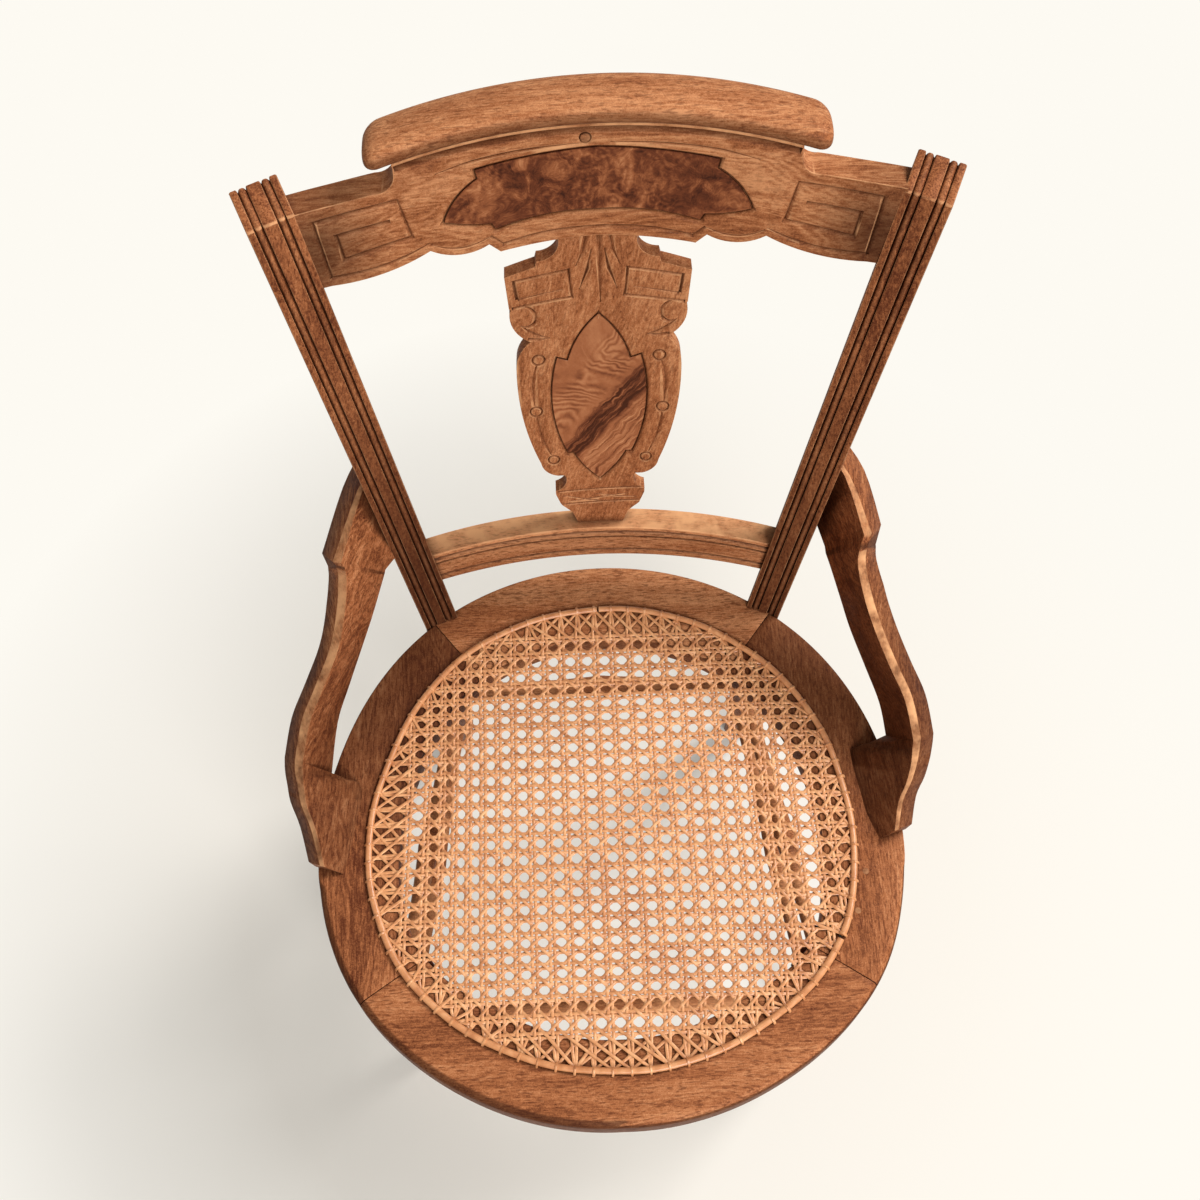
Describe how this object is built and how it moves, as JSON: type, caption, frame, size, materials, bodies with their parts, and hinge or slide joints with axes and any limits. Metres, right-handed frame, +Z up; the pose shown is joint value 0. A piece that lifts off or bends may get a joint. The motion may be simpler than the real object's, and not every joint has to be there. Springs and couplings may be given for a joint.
{
  "type": "cane armchair",
  "caption": "Victorian walnut chair with a round woven cane seat, bowed and carved back, hip-rest arms and turned front legs.",
  "frame": {"origin": "centre of the chair's box on the floor", "axes": "+X to the sitter's left as seen from the front (the viewer's right), +Y to the back, +Z up; the chair faces -Y"},
  "size_m": [0.4778, 0.5391, 0.8883],
  "materials": {
    "walnut": "satin varnish over mid red-brown walnut, worn light along the edges",
    "walnut_dark": "satin varnish over darker red-brown walnut",
    "burl": "satin burl walnut veneer with a swirling dark figure",
    "cane": "honey-coloured rattan cane with a soft natural gloss",
    "steel": "plain wood screws, dull"
  },
  "bodies": {
    "root": {"seat_front_rail": "walnut", "seat_back_rail": "walnut", "seat_left_rail": "walnut", "seat_right_rail": "walnut", "seat_dowels": "walnut_dark", "cane_seat": "cane", "cane_binder": "cane", "seat_plugs": "burl", "back_post_left": "walnut_dark", "back_post_right": "walnut_dark", "crest_rail": "walnut", "crest_cap": "walnut", "crest_panel": "burl", "crest_peg": "walnut_dark", "splat": "walnut", "splat_panel": "burl", "lower_back_rail": "walnut", "arm_left": "walnut", "arm_right": "walnut", "arm_screws": "steel", "post_screws": "steel", "front_leg_left": "walnut", "front_leg_right": "walnut", "front_stretcher": "walnut", "back_stretcher": "walnut", "side_stretchers_left": "walnut", "side_stretchers_right": "walnut"}
  },
  "joints": []
}
